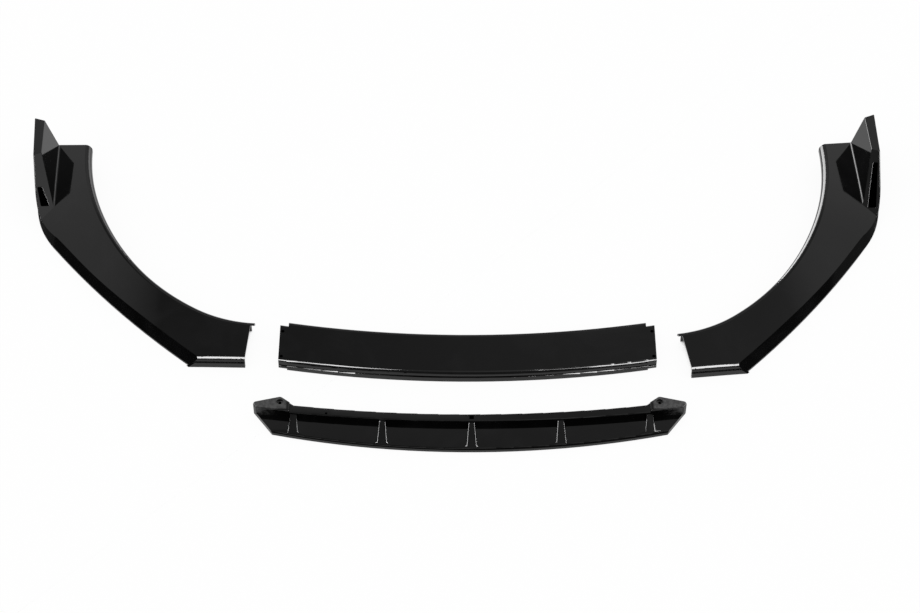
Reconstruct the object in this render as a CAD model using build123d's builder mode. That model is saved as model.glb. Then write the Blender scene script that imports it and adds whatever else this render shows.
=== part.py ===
"""Front splitter lip: a kit of four gloss mouldings laid out on the floor, ready to be joined.

Two side blades with upright end fins, a bowed centre blade whose tabs they lap over, and a lower lip that
is screwed under the joints. Millimetres, +X to the right as seen from the front, +Y to the back, +Z up.
"""

from build123d import *
from math import cos, degrees, radians, sin, sqrt
import os

os.makedirs("parts", exist_ok=True)

# Common to all the mouldings
wall = 3.0
lap_gap = 0.5
screw_bore = 7.0
edge_round = 1.2
rim_round = 2.0
roll_radius = 11.0
nose_radius = 9.0
lip_height = 13.0
lip_reach = 2.5
gutter = 1.5
skirt = 20.0

# Section where a side blade meets the centre blade
joint_set_back = 5.0
joint_rear_height = 30.0
joint_front_height = 25.0

# Centre blade
centre_depth = 109.0
centre_bow_radius = 2100.0
joint_screw_x = 386.0
tab_margin = 6.0
tab_length = 18.0
tab_screw_rear = 28.0
tab_screw_inset = 10.0

# Side blade in plan, from the rear corner of its joint: +X outboard, +Y to the back
front_run = 116.5
front_advance = 7.0
diagonal_run = 348.5
diagonal_rise = 312.0
diagonal_bulge = 12.5
shoulder_run = 59.5
shoulder_rise = 122.5
flank_length = 179.0
rear_width = 131.0
rear_skew = 33.0
neck_heading = 0.0
neck_end = (120.5, 27.5)
waist = (252.0, 120.0)
overrun = 25.0

# Rulings across the side blade: shares along its outer and inner edge, and of its turn to the rear heights
rulings = [
    (0, 0, 0),
    (0.26, 0.215, 0.2),
    (0.39, 0.4, 0.5),
    (0.53, 0.58, 0.8),
    (0.69, 0.75, 1),
    (0.85, 0.88, 1),
    (1, 1, 1),
]

# Side blade in section
rear_inner_height = 60.0
rear_outer_height = 18.0
rear_flange = 21.0
bevel_land = 4.0
bevel_draft = 0.7
flank_draft = 0.04
tongue_length = 8.0

# Fin on the side blade, and the window in its ramp
fin_height = 70.0
fin_lean = 19.0
fin_rear_base = 52.0
fin_front_base = 34.0
fin_foot_share = 0.74
fin_foot_height = 22.0
fin_foot_heading = 28.0
fin_rake = 36.0
fin_top_fall = 1.0
fin_ledge = 1.5
fin_round = 1.5
duct_depth = 20.0
crease_round = 3.0
window_foot_inside = 6.5
window_foot_width = 17.0
window_top_inside = 1.0
window_top_width = 9.0
window_round = 2.0
left_window = (25.0, 67.0)
right_window = (14.5, 115.0)

# Lower lip, from the middle of the line between its two ear holes, which lie under the joints
# and along it from a hole to the neck, top, shoulder and tip of its ear, and to the corners of the lip
ear_neck_inboard = 25.0
neck_back = 4.0
ear_top_inboard = 1.0
ear_top = 15.0
ear_shoulder_inboard = 20.0
ear_tip_outboard = 59.0
ear_round = 7.0
ear_roll = 3.0
end_outboard = 14.0
end_back = 63.0
front_middle = 108.0
rear_middle = 28.0
step_outboard = 31.0
step_back = 17.0
step_middle = 46.0
shelf_height = 10.0
flange_height = 24.0
ear_height = 29.0
bead_height = 6.5
bead_reach = 2.5
pocket = 14.0
pocket_depth = 4.0
rib_offset = 3.5
rib_back_width = 13.0
rib_front_width = 21.0
rib_margin = 8.0
rib_cap = 6.0
rib_drop = 4.0
rib_round = 2.0
slot = 9.0
slot_back = 37.0
drain_bore = 5.0
drain_inboard = 95.0
drain_back = 26.5

# Places of the mouldings on the floor
right_joint_place = (461.9, -96.3)
right_yaw = 9.2
left_joint_place = (-437.9, -67.4)
left_yaw = 4.4
centre_place = (15.5, -100.0)
lower_place = (20.0, -286.0)

up = Vector(0, 0, 1)


def between(start, end, share):
    """Value a share of the way from a start to an end."""
    return start + (end - start) * share


def inset_path(points, depth):
    """Move an open path of points to its right-hand side by a depth, corner by corner."""
    corners = [Vector(*point) for point in points]
    moved = []
    for index, corner in enumerate(corners):
        runs = []
        if index > 0:
            runs.append((corner - corners[index - 1]).normalized())
        if index + 1 < len(corners):
            runs.append((corners[index + 1] - corner).normalized())
        first, last = (Vector(run.Y, -run.X) for run in (runs[0], runs[-1]))
        moved.append(corner + (first + last) * (depth / (1 + first.dot(last))))
    return moved


def lipped_section(plane, back, inset, foot, lipped):
    """Section of the centre blade: rolled rear edge, round nose and, if it is lipped, an upright lip."""
    face = centre_depth - lip_reach
    back_height = between(joint_rear_height, joint_front_height, back / face)
    path = [(back, foot), (back, back_height), (face, joint_front_height)]
    radii = [roll_radius - inset, nose_radius - inset]
    if lipped:
        path += [(face, lip_height - gutter), (centre_depth, lip_height), (centre_depth, 0)]
        radii += [0, edge_round]
    else:
        path += [(face, foot)]
    with BuildSketch(plane) as sketch:
        with BuildLine():
            outline = FilletPolyline(*inset_path(path, inset), radius=radii)
            Line(outline @ 1, outline @ 0)
        make_face()
    return sketch.sketch


def bowed(half_length, back, inset, foot, lipped):
    """Section carried round the centre blade's bow and cut off square at both ends."""
    half_angle = degrees(1.2 * half_length / centre_bow_radius)
    start = radians(half_angle)
    plane = Plane(
        origin=(-centre_bow_radius * sin(start), centre_bow_radius * (1 - cos(start)), 0),
        x_dir=(-sin(start), -cos(start), 0),
        z_dir=(-cos(start), sin(start), 0),
    )
    with BuildPart() as bow:
        add(lipped_section(plane, back, inset, foot, lipped))
        revolve(axis=Axis((0, centre_bow_radius, 0), (0, 0, 1)), revolution_arc=2 * half_angle)
        split(bisect_by=Plane.YZ.offset(half_length), keep=Keep.BOTTOM)
        split(bisect_by=Plane.YZ.offset(-half_length), keep=Keep.TOP)
    return bow.part


# Centre blade: a bowed channel whose ends are stepped in to tabs that fit inside the side blades' joints
tab_end = joint_screw_x + tab_margin
tab_start = tab_end - tab_length
joint_depth = centre_depth - joint_set_back
tab_screw_front = joint_depth - tab_screw_inset
tab_inset = wall + lap_gap
tab_rear = centre_bow_radius - sqrt(centre_bow_radius**2 - joint_screw_x**2)
tab_holes = [
    (side * joint_screw_x, tab_rear - back) for side in (-1, 1) for back in (tab_screw_rear, tab_screw_front)
]

with BuildPart() as centre_form:
    add(bowed(tab_start, 0.0, 0.0, 0.0, True))
    add(bowed(tab_end, joint_set_back, tab_inset, 0.0, True))
    add(bowed(tab_start - wall, 0.0, wall, -skirt, False), mode=Mode.SUBTRACT)
    add(bowed(tab_end + wall, joint_set_back, tab_inset + wall, -skirt, False), mode=Mode.SUBTRACT)
    with BuildSketch(Plane.XY):
        with Locations(*tab_holes):
            Circle(screw_bore / 2)
    extrude(amount=joint_rear_height, mode=Mode.SUBTRACT)

# Side blade in plan: an outer edge of front, diagonal, shoulder and flank, an inner edge of three arcs
joint_front = Vector(0, lip_reach - joint_depth)
front_corner = joint_front + Vector(front_run, -front_advance)
diagonal_end = front_corner + Vector(diagonal_run, diagonal_rise)
shoulder_end = diagonal_end + Vector(shoulder_run, shoulder_rise)
neck_start = Vector(cos(radians(neck_heading)), sin(radians(neck_heading)))

with BuildLine() as outer_line:
    front = Line(joint_front, front_corner)
    diagonal = SagittaArc(front_corner, diagonal_end, -diagonal_bulge)
    shoulder = TangentArc(diagonal_end, shoulder_end, tangent=diagonal % 1)
    flank = Line(shoulder_end, shoulder_end + (shoulder % 1) * flank_length)
rear_outer = flank @ 1
rear_inner = rear_outer - Vector(rear_width, rear_skew)
with BuildLine() as inner_line:
    neck = TangentArc((0, 0), neck_end, tangent=neck_start)
    bend = TangentArc(neck_end, waist, tangent=neck % 1)
    sweep_back = TangentArc(waist, rear_inner, tangent=bend % 1)
inner_edge = inner_line.wires()[0]
outer_edge = outer_line.wires()[0]


def sheet(inner_heights, outer_heights):
    """Ruled sheet over the blade, given its inner and its outer edge's heights at the joint and the rear."""
    rails = ([], [])
    for outer_share, inner_share, turn in rulings:
        inner = inner_edge @ inner_share + up * between(*inner_heights, turn)
        outer = outer_edge @ outer_share + up * between(*outer_heights, turn)
        past = (outer - inner).normalized() * overrun
        along = Vector(0, 0)
        if outer_share == 0:
            along = neck_start * -overrun
        elif outer_share == 1:
            along = (flank % 1) * overrun
        rails[0].append(inner - past + along)
        rails[1].append(outer + past + along)
    with BuildLine():
        inner_rail = Spline(*rails[0])
        outer_rail = Spline(*rails[1])
    return Face.make_surface_from_curves(inner_rail, outer_rail)


def blade_prism(inset):
    """Prism over the plan of the side blade; that of a hollow runs out past the joint."""
    past = overrun if inset > 0 else 0
    with BuildPart() as prism:
        with BuildSketch(Plane.XY.offset(-past)):
            with BuildLine():
                add(inner_line.line)
                add(outer_line.line)
                Line(rear_inner, rear_outer)
                if past:
                    Polyline((0, 0), neck_start * -past, joint_front - (front % 0) * past, joint_front)
                else:
                    Line((0, 0), joint_front)
            make_face()
            if inset > 0:
                offset(amount=-inset, kind=Kind.INTERSECTION, mode=Mode.REPLACE)
        extrude(amount=rear_inner_height + overrun + past)
    return prism.part


def side_curve(edge, drafts, rise, inset):
    """Curve on the outer wall, so far above its land, of an edge whose draft changes along it."""
    points = []
    for share, draft in zip((0, 0.5, 1), (drafts[0], sum(drafts) / 2, drafts[1])):
        inward = Vector(-(edge % share).Y, (edge % share).X)
        depth = draft * rise + inset * sqrt(1 + draft**2)
        points.append(edge @ share + inward * depth + up * (bevel_land + rise))
    with BuildLine() as curve:
        if edge.geom_type == GeomType.LINE:
            Line(points[0], points[2])
        else:
            ThreePointArc(*points)
    return curve.edges()[0]


def outside(inset):
    """Spaces outside the outer wall: bevelled along the diagonal, turning nearly upright along the flank."""
    with BuildLine():
        lead_in = Line(front_corner - (diagonal % 0) * overrun, front_corner)
        run_out = Line(shoulder_end, rear_outer + (flank % 1) * overrun)
    spaces = []
    for edge, drafts in (
        (lead_in, (bevel_draft, bevel_draft)),
        (diagonal, (bevel_draft, bevel_draft)),
        (shoulder, (bevel_draft, flank_draft)),
        (run_out, (flank_draft, flank_draft)),
    ):
        low = side_curve(edge, drafts, -bevel_land, inset)
        high = side_curve(edge, drafts, 2 * fin_height, inset)
        with BuildPart() as space:
            extrude(Face.make_surface_from_curves(low, high), amount=4 * overrun, dir=(0.8, -0.6, 0))
        spaces.append(space.part)
    return spaces


def trimmed(inset):
    """Side blade without its fin and lip, or with an inset the hollow inside it."""
    drop = inset * sqrt(1 + ((rear_inner_height - rear_outer_height) / rear_width) ** 2)
    inner_heights = (joint_rear_height - drop, rear_inner_height - drop)
    outer_heights = (joint_front_height - drop, rear_outer_height - drop)
    with BuildPart() as sky:
        extrude(sheet(inner_heights, outer_heights), amount=4 * overrun, dir=(0, 0, 1))
    with BuildPart() as body:
        add(blade_prism(inset))
        add(sky.part, mode=Mode.SUBTRACT)
        rims = [
            body.edges().sort_by_distance(arc @ 0.5 + up * between(*inner_heights, share))[0]
            for arc, share in ((neck, 0.08), (bend, 0.3), (sweep_back, 0.98))
        ]
        if inset > 0:
            chamfer(rims, roll_radius - 1.5 * inset)
        else:
            fillet(rims, roll_radius)
        brow = body.edges().sort_by_distance(front @ 0.5 + up * outer_heights[0])[0]
        if inset > 0:
            chamfer(brow, nose_radius - 1.5 * inset)
        else:
            fillet(brow, nose_radius)
        for space in outside(inset):
            add(space, mode=Mode.SUBTRACT)
    return body.part


blade_form = trimmed(0.0)
blade_hollow = trimmed(wall)

# Rising underside: the inner flange keeps its depth while the inner edge climbs towards the rear
with BuildPart() as underneath:
    extrude(sheet((-1, rear_inner_height - rear_flange), (-1, -1)), amount=4 * overrun, dir=(0, 0, -1))

# Upright lip along the front edge, with a shallow gutter behind its top, cut off by the bevel at the corner
with BuildPart() as front_lip:
    with BuildSketch(Plane(joint_front, x_dir=(-(front % 0).Y, (front % 0).X, 0), z_dir=front % 0)):
        with BuildLine():
            Polyline(
                (edge_round, 0),
                (-lip_reach, 0),
                (-lip_reach, lip_height),
                (0, lip_height - gutter),
                (edge_round, lip_height - gutter),
                close=True,
            )
        make_face()
    extrude(amount=front_run + overrun)
    for space in outside(0.0):
        add(space, mode=Mode.SUBTRACT)

# Fin: the plan strip above the rear of the blade, cut by its ramp, its top and its leaning inner wall
across = (rear_inner - rear_outer).normalized()
flank_inward = Vector(-(flank % 0).Y, (flank % 0).X)
blade_slope = (rear_inner_height - rear_outer_height) / (rear_inner - rear_outer).dot(flank_inward)


def on_blade(point):
    """Point of the plan lifted on to the blade beside the fin."""
    return point + up * (rear_outer_height + blade_slope * (point - rear_outer).dot(flank_inward))


foot_inward = Vector(-cos(radians(fin_foot_heading)), sin(radians(fin_foot_heading)))
foot_outer = outer_edge @ fin_foot_share + up * fin_foot_height
crease_front = on_blade(outer_edge @ fin_foot_share + foot_inward * fin_front_base)
crease_rear = on_blade(rear_outer + across * fin_rear_base)
crease = (crease_rear - crease_front).normalized()
outboard = Vector(crease.Y, -crease.X).normalized()
downhill = Vector(-foot_inward.Y, foot_inward.X)
inner_wall_out = (outboard * sin(radians(fin_lean)) + up * cos(radians(fin_lean))).cross(crease)
ramp_out = downhill * sin(radians(fin_rake)) + up * cos(radians(fin_rake))
ramp_run = (flank % 0) - up * ((flank % 0).dot(ramp_out) / ramp_out.Z)
top_out = Vector(0, -sin(radians(fin_top_fall)), cos(radians(fin_top_fall)))


def fin_body(inset):
    """Solid fin, or with an inset the hollow inside it."""
    with BuildPart() as fin:
        with BuildSketch(Plane.XY.offset(bevel_land)):
            with BuildLine():
                wall_line = outer_edge.trim(fin_foot_share - 0.05, 1)
                add(wall_line)
                back = Line(wall_line @ 1, rear_outer + across * 2 * fin_rear_base)
                side = Line(back @ 1, (wall_line @ 0) + foot_inward * 2 * fin_rear_base)
                Line(side @ 1, wall_line @ 0)
            make_face()
            offset(amount=-fin_ledge - inset, mode=Mode.REPLACE)
        extrude(amount=2 * fin_height)
        for origin, out in (
            (crease_front, inner_wall_out),
            (foot_outer, ramp_out),
            (rear_outer + up * (crease_rear.Z + fin_height), top_out),
        ):
            split(bisect_by=Plane(origin - out * inset, z_dir=out), keep=Keep.BOTTOM)
    return fin.part


fin_form = fin_body(0.0)
fin_hollow = fin_body(wall)

# Floor of the blind duct behind the window, level with the ramp
with BuildPart() as duct_floor:
    add(fin_body(wall - lap_gap))
    split(bisect_by=Plane(foot_outer - ramp_out * duct_depth, z_dir=ramp_out), keep=Keep.BOTTOM)
    split(bisect_by=Plane(foot_outer - ramp_out * (duct_depth + wall), z_dir=ramp_out), keep=Keep.TOP)

# Tongue: the rolled rear edge runs on past the joint
with BuildPart() as skin:
    add(blade_form)
    add(blade_hollow, mode=Mode.SUBTRACT)
with BuildPart() as tongue:
    extrude(skin.faces().sort_by(Axis.X)[0], amount=tongue_length, dir=(-1, 0, 0))
    split(bisect_by=Plane.XZ.offset(roll_radius), keep=Keep.BOTTOM)
    split(bisect_by=Plane.XY.offset(joint_rear_height - roll_radius), keep=Keep.TOP)


def side_blade(window_foot, window_reach):
    """Right-hand side blade at its joint, with the fin's window between two places up the ramp."""
    with BuildPart() as blade:
        add(blade_form)
        add(front_lip.part)
        add(fin_form)
        fillet(blade.edges().sort_by_distance((crease_front + crease_rear) * 0.5)[0], crease_round)
        fin_edges = blade.edges().filter_by(lambda edge: edge.bounding_box().max.Z > rear_inner_height + 1)
        fillet(fin_edges, fin_round)
        add(blade_hollow, mode=Mode.SUBTRACT)
        add(fin_hollow, mode=Mode.SUBTRACT)
        add(duct_floor.part)
        add(underneath.part, mode=Mode.SUBTRACT)
        with BuildSketch(Plane(foot_outer, x_dir=ramp_run, z_dir=ramp_out)):
            with BuildLine():
                FilletPolyline(
                    (window_foot, window_foot_inside),
                    (window_foot, window_foot_inside + window_foot_width),
                    (window_reach, window_top_inside + window_top_width),
                    (window_reach, window_top_inside),
                    radius=window_round,
                    close=True,
                )
            make_face()
        extrude(amount=2 * wall, both=True, mode=Mode.SUBTRACT)
        rim = blade.edges(Select.LAST)
        fillet(rim.filter_by(lambda edge: abs((edge @ 0.5 - foot_outer).dot(ramp_out)) < lap_gap), edge_round)
        add(tongue.part)
    return blade.part


right_form = side_blade(*right_window)
left_form = side_blade(*left_window).mirror(Plane.YZ)


def bow_circle(half, ends, middle):
    """Middle and radius of a circle whose bow lies so far forward at its ends and in its middle."""
    radius = (half**2 + (middle - ends) ** 2) / (2 * (middle - ends))
    return (0, radius - middle), radius


neck_half = joint_screw_x - ear_neck_inboard
ear_top_half = joint_screw_x - ear_top_inboard
ear_tip_half = joint_screw_x + ear_tip_outboard
ear_start = joint_screw_x - ear_shoulder_inboard
end_half = joint_screw_x + end_outboard
front_bow, front_radius = bow_circle(end_half, end_back, front_middle)
step_bow, step_radius = bow_circle(joint_screw_x + step_outboard, step_back, step_middle)


def lower_plan(inset, behind_front=0.0, behind_step=None, beyond=None):
    """Plan of the lower lip, cut back from its front and its step, and kept beyond a half width only."""
    with BuildSketch(Plane.XY) as plan:
        with BuildLine():
            ThreePointArc((-neck_half, -neck_back), (0, -rear_middle), (neck_half, -neck_back))
            ThreePointArc((-end_half, -end_back), (0, -front_middle), (end_half, -end_back))
            for side in (-1, 1):
                FilletPolyline(
                    (side * neck_half, -neck_back),
                    (side * ear_top_half, ear_top),
                    (side * ear_tip_half, 0),
                    (side * end_half, -end_back),
                    radius=ear_round,
                )
        make_face()
        if inset > 0:
            offset(amount=-inset, kind=Kind.INTERSECTION, mode=Mode.REPLACE)
        if behind_front > 0:
            with Locations(front_bow):
                Circle(front_radius - behind_front, mode=Mode.INTERSECT)
        if behind_step is not None:
            with Locations(step_bow):
                Circle(step_radius - behind_step, mode=Mode.INTERSECT)
        if beyond is not None:
            Rectangle(2 * beyond, 2 * beyond, mode=Mode.SUBTRACT)
    return plan.sketch


def rib(length):
    """Wedge rib of the lower lip, from the middle of its back on the step."""
    brow = Vector(0, -rib_cap, flange_height - rib_drop)
    tail = Vector(0, -length, shelf_height)
    top_out = Vector(1, 0, 0).cross(brow - tail)
    with BuildPart() as form:
        with BuildSketch(Plane.XY.offset(shelf_height - edge_round)):
            with BuildLine():
                Polyline(
                    (-rib_back_width / 2, wall / 2),
                    (rib_back_width / 2, wall / 2),
                    (rib_front_width / 2, -length),
                    (-rib_front_width / 2, -length),
                    close=True,
                )
            make_face()
        extrude(amount=brow.Z - shelf_height + edge_round)
        split(bisect_by=Plane(brow, x_dir=(1, 0, 0), z_dir=top_out), keep=Keep.BOTTOM)
        slopes = form.edges().filter_by(lambda edge: abs((edge @ 0).Z - (edge @ 1).Z) > wall)
        fillet(slopes.sort_by_distance((brow + tail) * 0.5)[:2], rib_round)
    return form.part


ribs = []
for index in range(-2, 3):
    rib_x = index * neck_half / 2 + rib_offset
    rib_back = step_bow[1] - sqrt(step_radius**2 - rib_x**2)
    rib_front = front_bow[1] - sqrt(front_radius**2 - rib_x**2)
    ribs.append((rib(rib_back - rib_front - rib_margin), Location((rib_x, rib_back, 0))))
ear_holes = [(-joint_screw_x, 0), (joint_screw_x, 0)]

# Lower lip: a low shelf with a bead, a raised flange behind it, two ears and five ribs, hollow from below
with BuildPart() as lower_form:
    extrude(lower_plan(0), amount=bead_height)
    extrude(lower_plan(0, bead_reach), amount=shelf_height)
    extrude(lower_plan(0, bead_reach, 0), amount=flange_height)
    extrude(lower_plan(0, bead_reach, 0, ear_start), amount=ear_height)
    for top in (shelf_height, flange_height):
        bows = lower_form.edges().filter_by(GeomType.CIRCLE).filter_by_position(Axis.Z, top, top)
        fillet(bows.sort_by(Axis.Y)[:1] if top == shelf_height else bows, rim_round)
    fillet(lower_form.edges().filter_by_position(Axis.Z, ear_height, ear_height), ear_roll)
    for form, place in ribs:
        add(place * form)
    hollow = wall + bead_reach
    extrude(lower_plan(wall, hollow), amount=shelf_height - wall, mode=Mode.SUBTRACT)
    extrude(lower_plan(wall, hollow, wall), amount=flange_height - wall, mode=Mode.SUBTRACT)
    extrude(lower_plan(wall, hollow, wall, ear_start + wall), amount=ear_height - wall, mode=Mode.SUBTRACT)
    with BuildSketch(Plane.XY.offset(ear_height - pocket_depth - wall)):
        with Locations(*ear_holes):
            Circle(pocket / 2 + wall)
    extrude(amount=pocket_depth)
    with BuildSketch(Plane.XY.offset(ear_height - pocket_depth)):
        with Locations(*ear_holes):
            Circle(pocket / 2)
    extrude(amount=pocket_depth, mode=Mode.SUBTRACT)
    with BuildSketch(Plane.XY):
        with Locations(*ear_holes):
            Circle(screw_bore / 2)
        with Locations((rib_offset, -slot_back)):
            Rectangle(slot, slot)
        with Locations((drain_inboard - joint_screw_x, -drain_back)):
            Circle(drain_bore / 2)
    extrude(amount=ear_height, mode=Mode.SUBTRACT)

# The four mouldings lie apart on the floor, about the middle of the whole layout
places = [
    (left_form, Location((*left_joint_place, 0), (0, 0, -left_yaw))),
    (right_form, Location((*right_joint_place, 0), (0, 0, right_yaw))),
    (centre_form.part, Location((*centre_place, 0))),
    (lower_form.part, Location((*lower_place, 0))),
]
boxes = [(place * form).bounding_box() for form, place in places]
middle = Location(
    (
        -(min(box.min.X for box in boxes) + max(box.max.X for box in boxes)) / 2,
        -(min(box.min.Y for box in boxes) + max(box.max.Y for box in boxes)) / 2,
        0,
    )
)

with BuildPart() as left_side_blade:
    with Locations(middle * places[0][1]):
        add(left_form)
left_side_blade.part.label = "left_side_blade"
export_step(left_side_blade.part, "parts/left_side_blade.step")

with BuildPart() as right_side_blade:
    with Locations(middle * places[1][1]):
        add(right_form)
right_side_blade.part.label = "right_side_blade"
export_step(right_side_blade.part, "parts/right_side_blade.step")

with BuildPart() as centre_blade:
    with Locations(middle * places[2][1]):
        add(centre_form.part)
centre_blade.part.label = "centre_blade"
export_step(centre_blade.part, "parts/centre_blade.step")

with BuildPart() as lower_lip:
    with Locations(middle * places[3][1]):
        add(lower_form.part)
lower_lip.part.label = "lower_lip"
export_step(lower_lip.part, "parts/lower_lip.step")
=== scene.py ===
"""Looks of a gloss black front splitter lip, laid out in its four mouldings on a white studio floor."""

import logging
import math
from dataclasses import dataclass, field
from enum import Enum

import bmesh
import bpy
import numpy as np
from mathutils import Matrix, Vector


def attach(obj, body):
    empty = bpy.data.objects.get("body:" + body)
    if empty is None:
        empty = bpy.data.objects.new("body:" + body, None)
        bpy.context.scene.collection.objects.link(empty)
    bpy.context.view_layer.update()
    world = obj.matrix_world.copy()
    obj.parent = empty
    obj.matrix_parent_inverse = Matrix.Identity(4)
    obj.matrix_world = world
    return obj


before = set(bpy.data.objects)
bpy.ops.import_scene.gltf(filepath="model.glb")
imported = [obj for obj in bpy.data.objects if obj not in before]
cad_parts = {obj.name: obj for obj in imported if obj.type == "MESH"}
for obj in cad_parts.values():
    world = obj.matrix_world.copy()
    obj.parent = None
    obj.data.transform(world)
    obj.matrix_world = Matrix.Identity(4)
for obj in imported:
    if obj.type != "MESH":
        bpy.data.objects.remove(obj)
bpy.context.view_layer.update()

LOG = logging.getLogger("splitter_lip")
MM = 0.001
LEFT_BLADE = "left_side_blade"
RIGHT_BLADE = "right_side_blade"
CENTRE_BLADE = "centre_blade"
LOWER_LIP = "lower_lip"

Point = tuple[float, float, float]
Colour = tuple[float, float, float, float]
Pairs = tuple[tuple[float, float], ...]
Socket = bpy.types.NodeSocket
Value = Socket | float


class Ray(Enum):
    """Kinds of ray that a studio surface can answer in its own way."""

    CAMERA = "Is Camera Ray"
    GLOSSY = "Is Glossy Ray"
    TRANSMISSION = "Is Transmission Ray"


def grey(level: float, blue: float = 1.0) -> Colour:
    """Grey of a level in linear light, with its blue raised by a factor."""
    return (level, level, level * blue, 1.0)


class NodeMaker:
    """Small helper that adds shader nodes to a tree and links them.

    Args:
        tree: node tree of a material or a world.
    """

    def __init__(self, tree: bpy.types.NodeTree) -> None:
        """Start with an empty tree."""
        self.tree = tree
        self.tree.nodes.clear()

    def add(self, kind: str, **settings: object) -> bpy.types.Node:
        """Add a node.

        Args:
            kind: Blender's type name of the node, without its ShaderNode start.
            settings: attributes of the node, set as they are given.

        Returns:
            The new node.
        """
        node = self.tree.nodes.new("ShaderNode" + kind)
        for name, value in settings.items():
            setattr(node, name, value)
        return node

    def link(self, source: Socket, target: Socket) -> None:
        """Link an output socket to an input socket."""
        self.tree.links.new(source, target)

    def feed(self, value: Value | Colour, target: Socket) -> None:
        """Link a socket to an input, or set a constant on it.

        Args:
            value: output socket, number or colour.
            target: input socket.
        """
        if isinstance(value, Socket):
            self.link(value, target)
        else:
            target.default_value = value

    def math(self, operation: str, *values: Value, clamp: bool = False) -> Socket:
        """Add a math node.

        Args:
            operation: name of the operation.
            values: sockets or numbers, in the node's order.
            clamp: keep the result from 0 to 1.

        Returns:
            The result socket.
        """
        node = self.add("Math", operation=operation, use_clamp=clamp)
        for value, target in zip(values, node.inputs):
            self.feed(value, target)
        return node.outputs[0]

    def mix(self, kind: str, factor: Socket, first: Value | Colour, second: Value | Colour) -> Socket:
        """Add a mix node.

        Args:
            kind: FLOAT or RGBA.
            factor: 0 gives the first value, 1 the second.
            first: socket or constant.
            second: socket or constant.

        Returns:
            The result socket.
        """
        node = self.add("Mix", data_type=kind)
        for name, value in (("Factor", factor), ("A", first), ("B", second)):
            self.feed(value, node.inputs[name])
        return node.outputs["Result"]

    def noise(self, place: Socket, pitch: float, detail: float) -> bpy.types.Node:
        """Add a noise in space.

        Args:
            place: coordinates.
            pitch: size of the noise's features in metres.
            detail: number of finer layers.

        Returns:
            The noise node.
        """
        node = self.add("TexNoise", noise_dimensions="3D")
        node.inputs["Scale"].default_value = 1.0 / pitch
        node.inputs["Detail"].default_value = detail
        self.link(place, node.inputs["Vector"])
        return node

    def bump(self, height: Socket, depth: float) -> bpy.types.Node:
        """Add a bump of full strength.

        Args:
            height: height from 0 to 1.
            depth: depth of the relief in metres.

        Returns:
            The bump node.
        """
        node = self.add("Bump")
        node.inputs["Strength"].default_value = 1.0
        node.inputs["Distance"].default_value = depth
        self.link(height, node.inputs["Height"])
        return node

    def ramp(self, source: Socket, stops: Pairs, mode: str = "EASE") -> Socket:
        """Add a grey colour ramp.

        Args:
            source: factor socket.
            stops: places and grey levels in rising order of place.
            mode: interpolation between the stops.

        Returns:
            The colour socket.
        """
        node = self.add("ValToRGB")
        bar = node.color_ramp
        bar.interpolation = mode
        while len(bar.elements) < len(stops):
            bar.elements.new(0.5)
        for element, (place, level) in zip(bar.elements, stops):
            element.position = place
            element.color = grey(level)
        self.link(source, node.inputs["Fac"])
        return node.outputs["Color"]

    def apart(self, vector: Socket) -> tuple[Socket, Socket, Socket]:
        """Split a vector.

        Args:
            vector: vector socket.

        Returns:
            The sockets of its x, y and z.
        """
        node = self.add("SeparateXYZ")
        self.link(vector, node.inputs[0])
        return tuple(node.outputs[name] for name in "XYZ")

    def seen_by(self, *rays: Ray) -> Socket:
        """Factor that is 1 for the given kinds of ray.

        Args:
            rays: kinds of ray.

        Returns:
            The factor socket.
        """
        path = self.add("LightPath")
        total = path.outputs[rays[0].value]
        for ray in rays[1:]:
            total = self.math("MAXIMUM", total, path.outputs[ray.value])
        return total


@dataclass(frozen=True)
class Ears:
    """Scuffed and slightly lumpy zone on the lower lip's two ears. Its grey haze is partly scuffing and partly
    painted sheen that stands in for the light the ears' tops mirror. Places and sizes are in metres.
    """

    middle: float = 0.0316417
    start: float = 0.370
    front: float = -0.3535
    back: float = -0.3
    edge: float = 0.004
    roughness: float = 0.44
    lump_pitch: float = 0.0075
    lump_detail: float = 1.0
    lump_depth: float = 0.00028
    # Grey of the ears' haze: partly scuffing, partly painted sheen.
    haze_and_painted_sheen: float = 0.028
    haze_and_sheen_blotches: Pairs = ((0.38, 0.15), (0.64, 1.0))

    def mask(self, maker: NodeMaker, place: Socket) -> Socket:
        """Factor that is 1 on the ears and fades out over the edge.

        Args:
            maker: helper of the material's tree.
            place: Object coordinates.

        Returns:
            The factor socket.
        """
        across, depth, _ = maker.apart(place)
        reach = maker.math("ABSOLUTE", maker.math("SUBTRACT", across, self.middle))
        factor = None
        for socket, bound, sign in (
            (reach, self.start, 1.0),
            (depth, self.front, 1.0),
            (depth, self.back, -1.0),
        ):
            past = maker.math("SUBTRACT", socket, bound)
            within = maker.math("MULTIPLY", past, sign / self.edge, clamp=True)
            factor = within if factor is None else maker.math("MULTIPLY", factor, within)
        return factor

    def wear_and_paint_sheen(
        self, maker: NodeMaker, place: Socket, colour: Socket, roughness: Socket, relief: Socket
    ) -> tuple[Socket, Socket, Socket]:
        """Lay the ears' grey haze, which is partly scuffing and partly painted sheen, and their scuffs and lumps over
        the gloss.

        Args:
            maker: helper of the material's tree.
            place: Object coordinates.
            colour: colour of the gloss.
            roughness: roughness of the gloss.
            relief: normal of the gloss.

        Returns:
            The colour, roughness and normal sockets with the ears.
        """
        worn_and_sheen_zone = self.mask(maker, place)
        lumps = maker.noise(place, self.lump_pitch, self.lump_detail).outputs["Fac"]
        haze_and_sheen_share = maker.math("MULTIPLY", worn_and_sheen_zone, maker.ramp(lumps, self.haze_and_sheen_blotches))
        # Grey haze on the ears: partly scuffing, partly painted sheen for the light their tops mirror.
        colour = maker.mix("RGBA", haze_and_sheen_share, colour, grey(self.haze_and_painted_sheen))
        roughness = maker.mix("FLOAT", worn_and_sheen_zone, roughness, self.roughness)
        uneven = maker.bump(maker.math("MULTIPLY", lumps, worn_and_sheen_zone), self.lump_depth)
        maker.link(relief, uneven.inputs["Normal"])
        return colour, roughness, uneven.outputs["Normal"]


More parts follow.
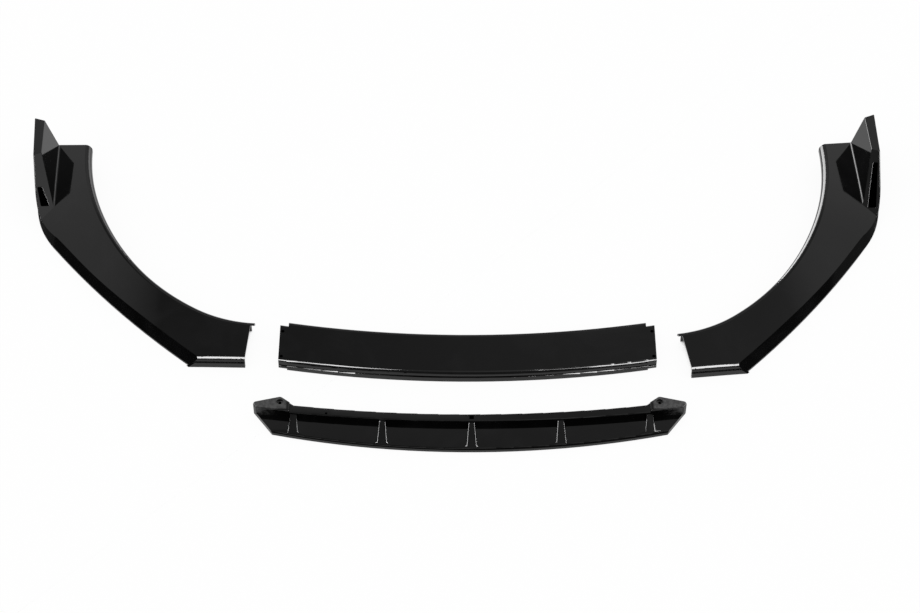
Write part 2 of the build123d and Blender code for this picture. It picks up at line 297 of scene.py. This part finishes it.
@dataclass(frozen=True)
class GlossMoulding:
    """Injection-moulded gloss black plastic with a fine orange peel, faint smears and a little dust.

    Sizes are in metres, levels in linear light. streaks goes by the smears' noise, specks by the distance to the
    next speck of dust.
    """

    name: str = "moulded_gloss_black"
    shade: float = 0.0006
    shade_blue: float = 1.05
    bloom: float = 0.0022
    bloom_blue: float = 1.06
    ior: float = 1.5
    roughness: float = 0.045
    smear_roughness: float = 0.10
    smear_pitch: float = 0.12
    smear_detail: float = 5.0
    smear_grain: float = 0.62
    smear_swirl: float = 0.9
    streaks: Pairs = ((0.42, 0.0), (0.72, 1.0))
    dust: Colour = (0.2, 0.2, 0.19, 1.0)
    dust_pitch: float = 0.004
    dust_share: float = 0.06
    specks: Pairs = ((0.03, 1.0), (0.075, 0.0))
    peel_pitch: float = 0.011
    peel_detail: float = 2.0
    peel_depth: float = 0.000010
    ears: Ears | None = None

    def colour(self, maker: NodeMaker, place: Socket, streaks: Socket) -> Socket:
        """Black with a faint bloom in the smears and specks of dust.

        Args:
            maker: helper of the material's tree.
            place: Object coordinates.
            streaks: share of the smears.

        Returns:
            The colour socket.
        """
        cells = maker.add("TexVoronoi", feature="F1", voronoi_dimensions="3D")
        cells.inputs["Scale"].default_value = 1.0 / self.dust_pitch
        maker.link(place, cells.inputs["Vector"])
        specks = maker.ramp(cells.outputs["Distance"], self.specks)
        clean, bloomed = grey(self.shade, self.shade_blue), grey(self.bloom, self.bloom_blue)
        shades = maker.mix("RGBA", streaks, clean, bloomed)
        return maker.mix("RGBA", maker.math("MULTIPLY", specks, self.dust_share), shades, self.dust)

    def material(self) -> bpy.types.Material:
        """Build the material.

        Returns:
            The node material, which reads Object coordinates.
        """
        made = bpy.data.materials.new(self.name)
        made.use_nodes = True
        maker = NodeMaker(made.node_tree)
        out = maker.add("OutputMaterial")
        shader = maker.add("BsdfPrincipled")
        shader.inputs["IOR"].default_value = self.ior
        maker.link(shader.outputs["BSDF"], out.inputs["Surface"])
        place = maker.add("TexCoord").outputs["Object"]

        smear = maker.noise(place, self.smear_pitch, self.smear_detail)
        smear.inputs["Roughness"].default_value = self.smear_grain
        smear.inputs["Distortion"].default_value = self.smear_swirl
        streaks = maker.ramp(smear.outputs["Fac"], self.streaks)
        colour = self.colour(maker, place, streaks)
        rough = maker.add("MapRange")
        maker.link(streaks, rough.inputs["Value"])
        rough.inputs["To Min"].default_value = self.roughness
        rough.inputs["To Max"].default_value = self.smear_roughness
        roughness = rough.outputs["Result"]
        peel = maker.noise(place, self.peel_pitch, self.peel_detail).outputs["Fac"]
        relief = maker.bump(peel, self.peel_depth).outputs["Normal"]
        # On the ears a grey haze is laid in that is partly scuffing and partly painted sheen.
        if self.ears:
            colour, roughness, relief = self.ears.wear_and_paint_sheen(maker, place, colour, roughness, relief)
        maker.link(colour, shader.inputs["Base Color"])
        maker.link(roughness, shader.inputs["Roughness"])
        maker.link(relief, shader.inputs["Normal"])
        return made


@dataclass(frozen=True)
class PaintedShadeBlack:
    """Matt, flecked black of the painted-shade trays in the ducts and under the holes, which gives back next to no
    light. Sizes are in metres.
    """

    name: str = "painted_shade_black"
    shade: float = 0.0002
    fleck: float = 0.0009
    fleck_pitch: float = 0.0016
    fleck_detail: float = 3.0
    fleck_start: float = 0.4
    fleck_end: float = 0.75
    roughness: float = 0.95

    def material(self) -> bpy.types.Material:
        """Build the material.

        Returns:
            The node material, which reads Object coordinates.
        """
        made = bpy.data.materials.new(self.name)
        made.use_nodes = True
        maker = NodeMaker(made.node_tree)
        out = maker.add("OutputMaterial")
        shader = maker.add("BsdfPrincipled")
        shader.inputs["Roughness"].default_value = self.roughness
        shader.inputs["Specular IOR Level"].default_value = 0.0
        painted_shade_flock = maker.noise(maker.add("TexCoord").outputs["Object"], self.fleck_pitch, self.fleck_detail)
        flecks = ((self.fleck_start, self.shade), (self.fleck_end, self.fleck))
        maker.link(maker.ramp(painted_shade_flock.outputs["Fac"], flecks), shader.inputs["Base Color"])
        maker.link(shader.outputs["BSDF"], out.inputs["Surface"])
        return made


@dataclass(frozen=True)
class PaintedShadeTray:
    """Closed tray of thin wall: a dark sheet that paints the shade inside an opening. Places are in metres, sizes in
    millimetres.

    Args:
        name: name of the piece.
        corner: origin of the opening's plane.
        along: unit vector along the opening.
        aside: unit vector across the opening.
        outline: the opening's corners, along and aside.
        shallow: depth of the tray's rim under the opening's plane.
        deep: depth of the tray's floor.
        corner_round: length of each side that its rounded corner takes up.
        gap: distance from the opening's edge to the tray.
        skin: thickness of the tray's wall.
        steps: points on each rounded corner.
    """

    name: str
    corner: Point
    along: Point
    aside: Point
    outline: Pairs
    shallow: float
    deep: float
    corner_round: float = 2.0
    gap: float = 0.25
    skin: float = 0.3
    steps: int = 7

    def loop(self, inset: float) -> np.ndarray:
        """Outline moved inwards and rounded at its corners.

        Each corner moves along the sum of its two inward normals, and a parabola from one side to the other
        rounds it: (1 - t)^2 a + 2 t (1 - t) c + t^2 b.

        Args:
            inset: distance to the opening's edge in millimetres.

        Returns:
            Points of the closed loop, one row each.
        """
        points = np.array(self.outline)
        ahead = np.roll(points, -1, axis=0) - points
        ahead /= np.linalg.norm(ahead, axis=1, keepdims=True)
        behind = np.roll(ahead, 1, axis=0)
        turned = np.array([[0.0, 1.0], [-1.0, 0.0]])
        inward, before = ahead @ turned, behind @ turned
        facing = np.sign(np.sum(inward * (points.mean(axis=0) - points), axis=1, keepdims=True))
        inward, before = inward * facing, before * facing
        share = 1.0 + np.sum(inward * before, axis=1, keepdims=True)
        corners = points + (inward + before) * inset / share
        t = np.linspace(0.0, 1.0, self.steps)[None, :, None]
        start = (corners - behind * self.corner_round)[:, None, :]
        end = (corners + ahead * self.corner_round)[:, None, :]
        bends = (1 - t) ** 2 * start + 2 * t * (1 - t) * corners[:, None, :] + t**2 * end
        return bends.reshape(-1, 2)

    def build(self, finish: bpy.types.Material) -> bpy.types.Object:
        """Make the tray: the outline carried down its outer wall and up its inner wall, with two floors.

        Args:
            finish: material of the painted-shade tray.

        Returns:
            The tray's object.
        """
        along, aside = np.array(self.along), np.array(self.aside)
        out = np.cross(along, aside)
        out *= np.sign(out[2])
        rings = (
            (0.0, self.shallow),
            (0.0, self.deep),
            (self.skin, self.deep - self.skin),
            (self.skin, self.shallow),
        )
        rows = []
        for inset, depth in rings:
            flat = self.loop(self.gap + inset) * MM
            rows.append(np.array(self.corner) + flat[:, :1] * along + flat[:, 1:] * aside - out * depth * MM)
        count = len(rows[0])
        here = np.arange(count)
        after = np.roll(here, -1)
        walls = np.concatenate(
            [
                np.stack([here + low, after + low, after + high, here + high], axis=1)
                for low, high in ((0, count), (2 * count, 3 * count), (3 * count, 0))
            ]
        )
        faces = walls.tolist() + [(here + count).tolist(), (here[::-1] + 2 * count).tolist()]
        mesh = bpy.data.meshes.new(self.name)
        mesh.from_pydata(np.concatenate(rows).tolist(), [], faces)
        body = bmesh.new()
        body.from_mesh(mesh)
        bmesh.ops.recalc_face_normals(body, faces=body.faces)
        body.to_mesh(mesh)
        body.free()
        mesh.materials.append(finish)
        tray = bpy.data.objects.new(self.name, mesh)
        bpy.context.scene.collection.objects.link(tray)
        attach(tray, "root")
        return tray


@dataclass(frozen=True)
class RampWindow:
    """Window in a fin's ramp: narrower at its top than at its foot. Places are in metres, sizes in millimetres.

    Args:
        name: name of its painted-shade tray.
        corner: outer corner of the ramp's foot.
        along: unit vector up the ramp.
        aside: unit vector across the ramp, to the inside.
        foot: place of the window's foot up the ramp.
        top: place of the window's top up the ramp.
    """

    name: str
    corner: Point
    along: Point
    aside: Point
    foot: float
    top: float
    foot_outside: float = 6.5
    foot_inside: float = 23.5
    top_outside: float = 1.0
    top_inside: float = 10.0
    rim_depth: float = 1.4
    floor_depth: float = 19.6

    def painted_shade_tray(self) -> PaintedShadeTray:
        """Painted-shade tray in the duct behind the window, which stands in for the shade inside the hollow fin.

        Returns:
            The painted-shade tray.
        """
        outline = (
            (self.foot, self.foot_outside),
            (self.foot, self.foot_inside),
            (self.top, self.top_inside),
            (self.top, self.top_outside),
        )
        return PaintedShadeTray(
            self.name, self.corner, self.along, self.aside, outline, self.rim_depth, self.floor_depth
        )


@dataclass(frozen=True)
class HoleShadeCups:
    """Dark blind cups under the screw holes, the square slot and the drain hole, which paint the shade under the
    mouldings that shows through them. Places and sizes are in millimetres.

    Each place is the middle of a cup's rim, which lies inside the wall above it.
    """

    screw_reach: float = 386.0
    tab_rear: Point = (27.1417, -139.4, 22.48)
    tab_front: Point = (27.1417, -205.4, 19.39)
    ear: Point = (31.6417, -333.1776, 22.3)
    slot: Point = (35.1417, -370.1776, 21.3)
    drain: Point = (-259.3583, -359.6776, 21.3)
    screw_half: float = 4.6
    screw_round: float = 4.0
    slot_half: float = 5.6
    slot_round: float = 1.0
    drain_half: float = 3.6
    drain_round: float = 3.0
    depth: float = 5.0

    def shade_cup(self, name: str, middle: Point, half: float, bend: float) -> PaintedShadeTray:
        """One painted-shade cup.

        Args:
            name: name of the piece.
            middle: middle of its rim.
            half: half of its width.
            bend: rounding of its corners.

        Returns:
            The cup.
        """
        square = ((-half, -half), (half, -half), (half, half), (-half, half))
        place = tuple(value * MM for value in middle)
        return PaintedShadeTray(name, place, (1.0, 0.0, 0.0), (0.0, 1.0, 0.0), square, 0.0, self.depth, bend)

    def painted_shade_trays(self) -> list[PaintedShadeTray]:
        """All painted-shade cups.

        Returns:
            The tabs' four, the ears' two, the slot's and the drain's.
        """
        sides = (("left", -self.screw_reach), ("right", self.screw_reach))
        screws = [
            (f"{side}_{end}_tab_shade_cup", reach, middle)
            for side, reach in sides
            for end, middle in (("rear", self.tab_rear), ("front", self.tab_front))
        ]
        screws += [(f"{side}_ear_shade_cup", reach, self.ear) for side, reach in sides]
        # Dark cups that paint the shade showing through the holes.
        shade_cups = [
            self.shade_cup(name, (x + reach, y, z), self.screw_half, self.screw_round)
            for name, reach, (x, y, z) in screws
        ]
        shade_cups.append(self.shade_cup("slot_shade_cup", self.slot, self.slot_half, self.slot_round))
        shade_cups.append(self.shade_cup("drain_shade_cup", self.drain, self.drain_half, self.drain_round))
        return shade_cups


# Painted-shade trays behind the fins' windows: dark sheets where the hollow fins are only in shade.
RAMP_WINDOWS = (
    RampWindow(
        "left_duct_painted_shade",
        (-0.912786, 0.196394, 0.022),
        (-0.077008, 0.819442, 0.567965),
        (0.968863, 0.195953, -0.151352),
        foot=25.0,
        top=67.0,
    ),
    RampWindow(
        "right_duct_painted_shade",
        (0.932341, 0.207115, 0.022),
        (0.008168, 0.823012, 0.567965),
        (-0.981862, 0.114194, -0.151352),
        foot=14.5,
        top=115.0,
    ),
)


class Shading(Enum):
    """Where a moulding's smooth shading comes from."""

    SOLID = "normals of the solid"
    FACES = "normals weighed by the faces"


@dataclass(frozen=True)
class Moulding:
    node: str
    finish: bpy.types.Material
    shading: Shading
    weld: float = 0.00001
    sharp: float = math.radians(34.0)
    area_weight: int = 100

    def dress(self) -> bpy.types.Object:
        """Give the moulding's object its finish and its shading.

        Returns:
            The dressed object.
        """
        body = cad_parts[self.node]
        body.data.materials.clear()
        body.data.materials.append(self.finish)
        if self.shading is Shading.FACES:
            joined = body.modifiers.new("joined", "WELD")
            joined.merge_threshold = self.weld
            parted = body.modifiers.new("parted", "EDGE_SPLIT")
            parted.split_angle = self.sharp
            parted.use_edge_sharp = False
            weighed = body.modifiers.new("weighed", "WEIGHTED_NORMAL")
            weighed.mode = "FACE_AREA"
            weighed.weight = self.area_weight
            weighed.keep_sharp = False
        return body


@dataclass(frozen=True)
class Softbox:
    """Soft lamp that only one moulding's gloss mirrors; all else is flagged off. Lengths are in metres.

    glow is the lamp's radiance, where 1 is the white of the background.
    """

    name: str
    moulding: str
    place: Point
    aim: Point
    width: float
    height: float
    glow: float

    def build(self) -> bpy.types.Object:
        """Make the lamp. Its power is radiance times area times pi.

        Returns:
            The lamp's object.
        """
        light = bpy.data.lights.new(self.name, "AREA")
        light.shape = "RECTANGLE"
        light.size = self.width
        light.size_y = self.height
        light.energy = self.glow * self.width * self.height * math.pi
        lamp = bpy.data.objects.new(self.name, light)
        lamp.location = self.place
        facing = Vector(self.aim) - Vector(self.place)
        lamp.rotation_euler = facing.to_track_quat("-Z", "Y").to_euler()
        lamp.visible_camera = False
        lamp.visible_diffuse = False
        lit = bpy.data.collections.new(self.name + "_lights")
        lit.objects.link(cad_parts[self.moulding])
        lamp.light_linking.receiver_collection = lit
        bpy.context.scene.collection.objects.link(lamp)
        return lamp


# Front and end strips draw the bright noses, the back softboxes the rolled inner edges, the side strips and panels
# the ribs' edges, and the spots the rims of the windows.
SOFTBOXES = (
    Softbox("strip_front_left", LEFT_BLADE, (-1.626, -5.245, 6.13), (-0.53, -0.22, 0.03), 1.7, 7.0, 20.0),
    Softbox("strip_front_right", RIGHT_BLADE, (2.477, -5.019, 6.13), (0.55, -0.25, 0.03), 1.9, 7.0, 20.0),
    Softbox("strip_end_left", CENTRE_BLADE, (-2.345, -4.935, 6.13), (-0.335, -0.2, 0.03), 1.0, 7.0, 20.0),
    Softbox("strip_end_right", CENTRE_BLADE, (2.441, -4.917, 6.13), (0.39, -0.2, 0.03), 1.0, 7.0, 20.0),
    Softbox("softbox_back_left", RIGHT_BLADE, (-0.95, 2.9, 1.2), (0.5, 0.0, 0.3), 1.7, 2.3, 9.0),
    Softbox("softbox_back_right", LEFT_BLADE, (1.0, 2.9, 1.1), (-0.5, 0.0, 0.3), 1.6, 1.8, 1.5),
    Softbox("strip_side_left", LOWER_LIP, (-6.83, 3.74, 1.15), (0.03, -0.38, 1.15), 3.0, 2.0, 20.0),
    Softbox("strip_side_right", LOWER_LIP, (6.89, 3.74, 1.15), (0.03, -0.38, 1.15), 3.0, 2.0, 20.0),
    Softbox("panel_side_left", LOWER_LIP, (-4.67, 3.565, 6.58), (0.03, -0.38, 0.03), 2.6, 2.9, 18.0),
    Softbox("panel_side_right", LOWER_LIP, (4.73, 3.565, 6.58), (0.03, -0.38, 0.03), 2.6, 2.9, 18.0),
    Softbox("spot_left", LEFT_BLADE, (-2.67, -0.56, 2.36), (-0.92, 0.25, 0.06), 0.45, 0.45, 25.0),
    Softbox("spot_right", RIGHT_BLADE, (2.68, -0.55, 2.36), (0.93, 0.26, 0.06), 0.45, 0.45, 25.0),
)


@dataclass(frozen=True)
class Room:
    """How bright the gloss finds the studio. Levels are shares of the background's white.
    """

    fill: float = 1.0
    by_height: Pairs = (
        (0.0, 0.2),
        (0.1, 0.25),
        (0.55, 0.28),
        (0.61, 0.34),
        (0.66, 0.58),
        (0.69, 0.54),
        (0.72, 0.44),
        (0.743, 0.36),
        (0.776, 0.31),
        (0.79, 0.23),
        (0.81, 0.19),
        (0.9, 0.18),
        (1.0, 0.22),
    )
    left: Pairs = ((0.2, 0.0), (0.3, 0.27), (0.4, 0.44), (0.5, 0.58), (0.56, 0.6), (0.75, 0.3))
    right: Pairs = (
        (0.44, 0.18),
        (0.5, 0.262),
        (0.56, 0.315),
        (0.62, 0.31),
        (0.69, 0.34),
        (0.75, 0.56),
        (0.78, 0.6),
        (0.875, 0.25),
    )
    front: Pairs = ((0.0, 0.3), (0.2, 0.16), (0.75, 0.18))
    high: Pairs = ((0.75, 0.0), (0.88, 1.0))
    overhead: Pairs = ((0.4, 0.1), (0.5, 0.3), (0.62, 0.75))
    sides: Pairs = ((0.72, 1.0), (0.88, 0.14))
    behind_gain: float = 3.0
    behind_start: float = 0.35

    def level(self, maker: NodeMaker, way: Socket) -> Socket:
        """Level of the studio in a direction.

        Args:
            maker: helper of the world's tree.
            way: direction.

        Returns:
            The level socket.
        """
        across, depth, height = maker.apart(way)
        back = maker.ramp(height, self.by_height, "LINEAR")
        turn = maker.math("MULTIPLY_ADD", across, 0.5, 0.5)
        for side, stops in ((maker.math("MULTIPLY", across, -1.0), self.left), (turn, self.right)):
            back = maker.math("MAXIMUM", back, maker.ramp(side, stops, "LINEAR"))
        high = maker.ramp(height, self.high)
        crown = maker.math("MULTIPLY", high, maker.ramp(turn, self.overhead, "LINEAR"))
        front = maker.math("ADD", maker.ramp(height, self.front, "LINEAR"), crown)
        behind = maker.math("MULTIPLY_ADD", depth, self.behind_gain, self.behind_start, clamp=True)
        whole = maker.mix("FLOAT", behind, front, back)
        shares = maker.ramp(maker.math("ABSOLUTE", across), self.sides, "LINEAR")
        return maker.math("MULTIPLY", whole, shares)


@dataclass(frozen=True)
class Studio:
    """White floor, pale surroundings and soft lamps. Lengths are in metres.

    The gloss mirrors the floor as a bright table of table_half to each side, which fades to dim beyond. open_sky
    goes by how open the floor is within cover_reach, and paints shade on the floor's glow under the mouldings.
    """

    room: Room = field(default_factory=Room)
    floor_half: float = 60.0
    floor_drop: float = 0.0002
    floor_grey: float = 0.92
    floor_shine: float = 0.93
    mirrored: float = 0.75
    table_half: float = 0.86
    table_fade: float = 0.05
    dim: float = 0.04
    cover_reach: float = 0.1
    cover_samples: int = 8
    open_sky: Pairs = ((0.12, 0.0), (0.36, 1.0))

    def build(self) -> None:
        """Make the floor, the surroundings and the lamps."""
        self.make_floor()
        self.make_surroundings()
        for softbox in SOFTBOXES:
            softbox.build()

    def make_floor(self) -> None:
        """Flat floor just under height 0: a grid of two by two corners at plus and minus the half width."""
        u, v = np.meshgrid((-1.0, 1.0), (-1.0, 1.0))
        corners = np.stack([u * self.floor_half, v * self.floor_half, np.zeros_like(u)], axis=-1)
        mesh = bpy.data.meshes.new("studio_floor")
        mesh.from_pydata(corners.reshape(-1, 3).tolist(), [], [(0, 1, 3, 2)])
        mesh.materials.append(self.floor_material())
        floor = bpy.data.objects.new("studio_floor", mesh)
        floor.location.z = -self.floor_drop
        bpy.context.scene.collection.objects.link(floor)

    def floor_material(self) -> bpy.types.Material:
        """Returns:
            The node material, which reads Object coordinates.
        """
        made = bpy.data.materials.new("floor_white")
        made.use_nodes = True
        maker = NodeMaker(made.node_tree)
        out = maker.add("OutputMaterial")
        matt = maker.add("BsdfDiffuse")
        matt.inputs["Color"].default_value = grey(self.floor_grey)
        shine = maker.add("Emission")
        across = maker.math("ABSOLUTE", maker.apart(maker.add("TexCoord").outputs["Object"])[0])
        past = maker.math("SUBTRACT", across, self.table_half)
        beyond = maker.math("DIVIDE", past, self.table_fade, clamp=True)
        table = maker.math("MULTIPLY_ADD", beyond, self.dim - self.mirrored, self.mirrored)
        # Painted shade: the floor's glow to the camera dims where ambient occlusion finds the mouldings over it.
        cover = maker.add("AmbientOcclusion", samples=self.cover_samples)
        cover.inputs["Distance"].default_value = self.cover_reach
        open_sky = maker.ramp(cover.outputs["AO"], self.open_sky)
        to_camera = maker.math("MULTIPLY", maker.seen_by(Ray.CAMERA), open_sky)
        to_gloss = maker.math("MULTIPLY", table, maker.seen_by(Ray.GLOSSY))
        maker.link(maker.math("MAXIMUM", to_camera, to_gloss), shine.inputs["Strength"])
        blend = maker.add("MixShader")
        seen = maker.seen_by(Ray.CAMERA, Ray.GLOSSY, Ray.TRANSMISSION)
        maker.link(maker.math("MULTIPLY", seen, self.floor_shine), blend.inputs["Fac"])
        maker.link(matt.outputs["BSDF"], blend.inputs[1])
        maker.link(shine.outputs["Emission"], blend.inputs[2])
        maker.link(blend.outputs["Shader"], out.inputs["Surface"])
        return made

    def make_surroundings(self) -> None:
        """World that is white to the camera, the room's levels to the gloss and an even fill to the rest."""
        world = bpy.data.worlds.new("studio")
        bpy.context.scene.world = world
        world.use_nodes = True
        maker = NodeMaker(world.node_tree)
        out = maker.add("OutputWorld")
        level = self.room.level(maker, maker.add("TexCoord").outputs["Generated"])
        mirrored = maker.seen_by(Ray.GLOSSY, Ray.TRANSMISSION)
        light = maker.mix("RGBA", mirrored, grey(self.room.fill), level)
        white = maker.mix("RGBA", maker.seen_by(Ray.CAMERA), light, grey(1.0))
        sky = maker.add("Background")
        maker.link(white, sky.inputs["Color"])
        maker.link(sky.outputs["Background"], out.inputs["Surface"])


@dataclass(frozen=True)
class PhotoCamera:
    """Lengths are in metres, the elevation in degrees, the sensor in millimetres, and the focal length in pixels of a
    frame of the given width.
    """

    target: Point = (0.0116417, -0.0471776, 0.0)
    elevation: float = 48.0
    focal_pixels: float = 2200.0
    frame_pixels: float = 920.0
    pixels_per_metre: float = 470.0
    sensor: float = 36.0
    farthest: float = 200.0

    def build(self) -> bpy.types.Object:
        """Make the camera and set it as the scene's.

        Returns:
            The camera's object.
        """
        lens = bpy.data.cameras.new("photo_camera")
        lens.sensor_fit = "HORIZONTAL"
        lens.sensor_width = self.sensor
        lens.lens = self.focal_pixels / self.frame_pixels * self.sensor
        lens.clip_end = self.farthest
        camera = bpy.data.objects.new("photo_camera", lens)
        rise = math.radians(self.elevation)
        distance = self.focal_pixels / self.pixels_per_metre
        outwards = Vector((0.0, -math.cos(rise), math.sin(rise)))
        camera.location = Vector(self.target) + outwards * distance
        camera.rotation_euler = (math.pi / 2 - rise, 0.0, 0.0)
        bpy.context.scene.collection.objects.link(camera)
        bpy.context.scene.camera = camera
        return camera


def main() -> None:
    """Dress the mouldings, put painted-shade trays in their openings, and set up the studio and the camera."""
    logging.basicConfig(level=logging.INFO)
    bpy.context.scene.view_settings.view_transform = "Standard"
    gloss = GlossMoulding().material()
    # The ears' material adds a grey haze that is partly scuffing and partly painted sheen.
    scuffed_with_painted_sheen = GlossMoulding("moulded_gloss_black_scuffed_sheen", ears=Ears()).material()
    for node, finish, shading in (
        (LEFT_BLADE, gloss, Shading.SOLID),
        (RIGHT_BLADE, gloss, Shading.SOLID),
        (CENTRE_BLADE, gloss, Shading.FACES),
        (LOWER_LIP, scuffed_with_painted_sheen, Shading.FACES),
    ):
        made = Moulding(node, finish, shading).dress()
        LOG.info("%s: %d faces", made.name, len(made.data.polygons))
    # Dark trays that paint the shade in the fins' ducts and under the holes.
    painted_shade_flock = PaintedShadeBlack().material()
    for painted_shade_tray in [window.painted_shade_tray() for window in RAMP_WINDOWS] + HoleShadeCups().painted_shade_trays():
        LOG.info("%s", painted_shade_tray.build(painted_shade_flock).name)
    Studio().build()
    PhotoCamera().build()


if __name__ == "__main__":
    main()
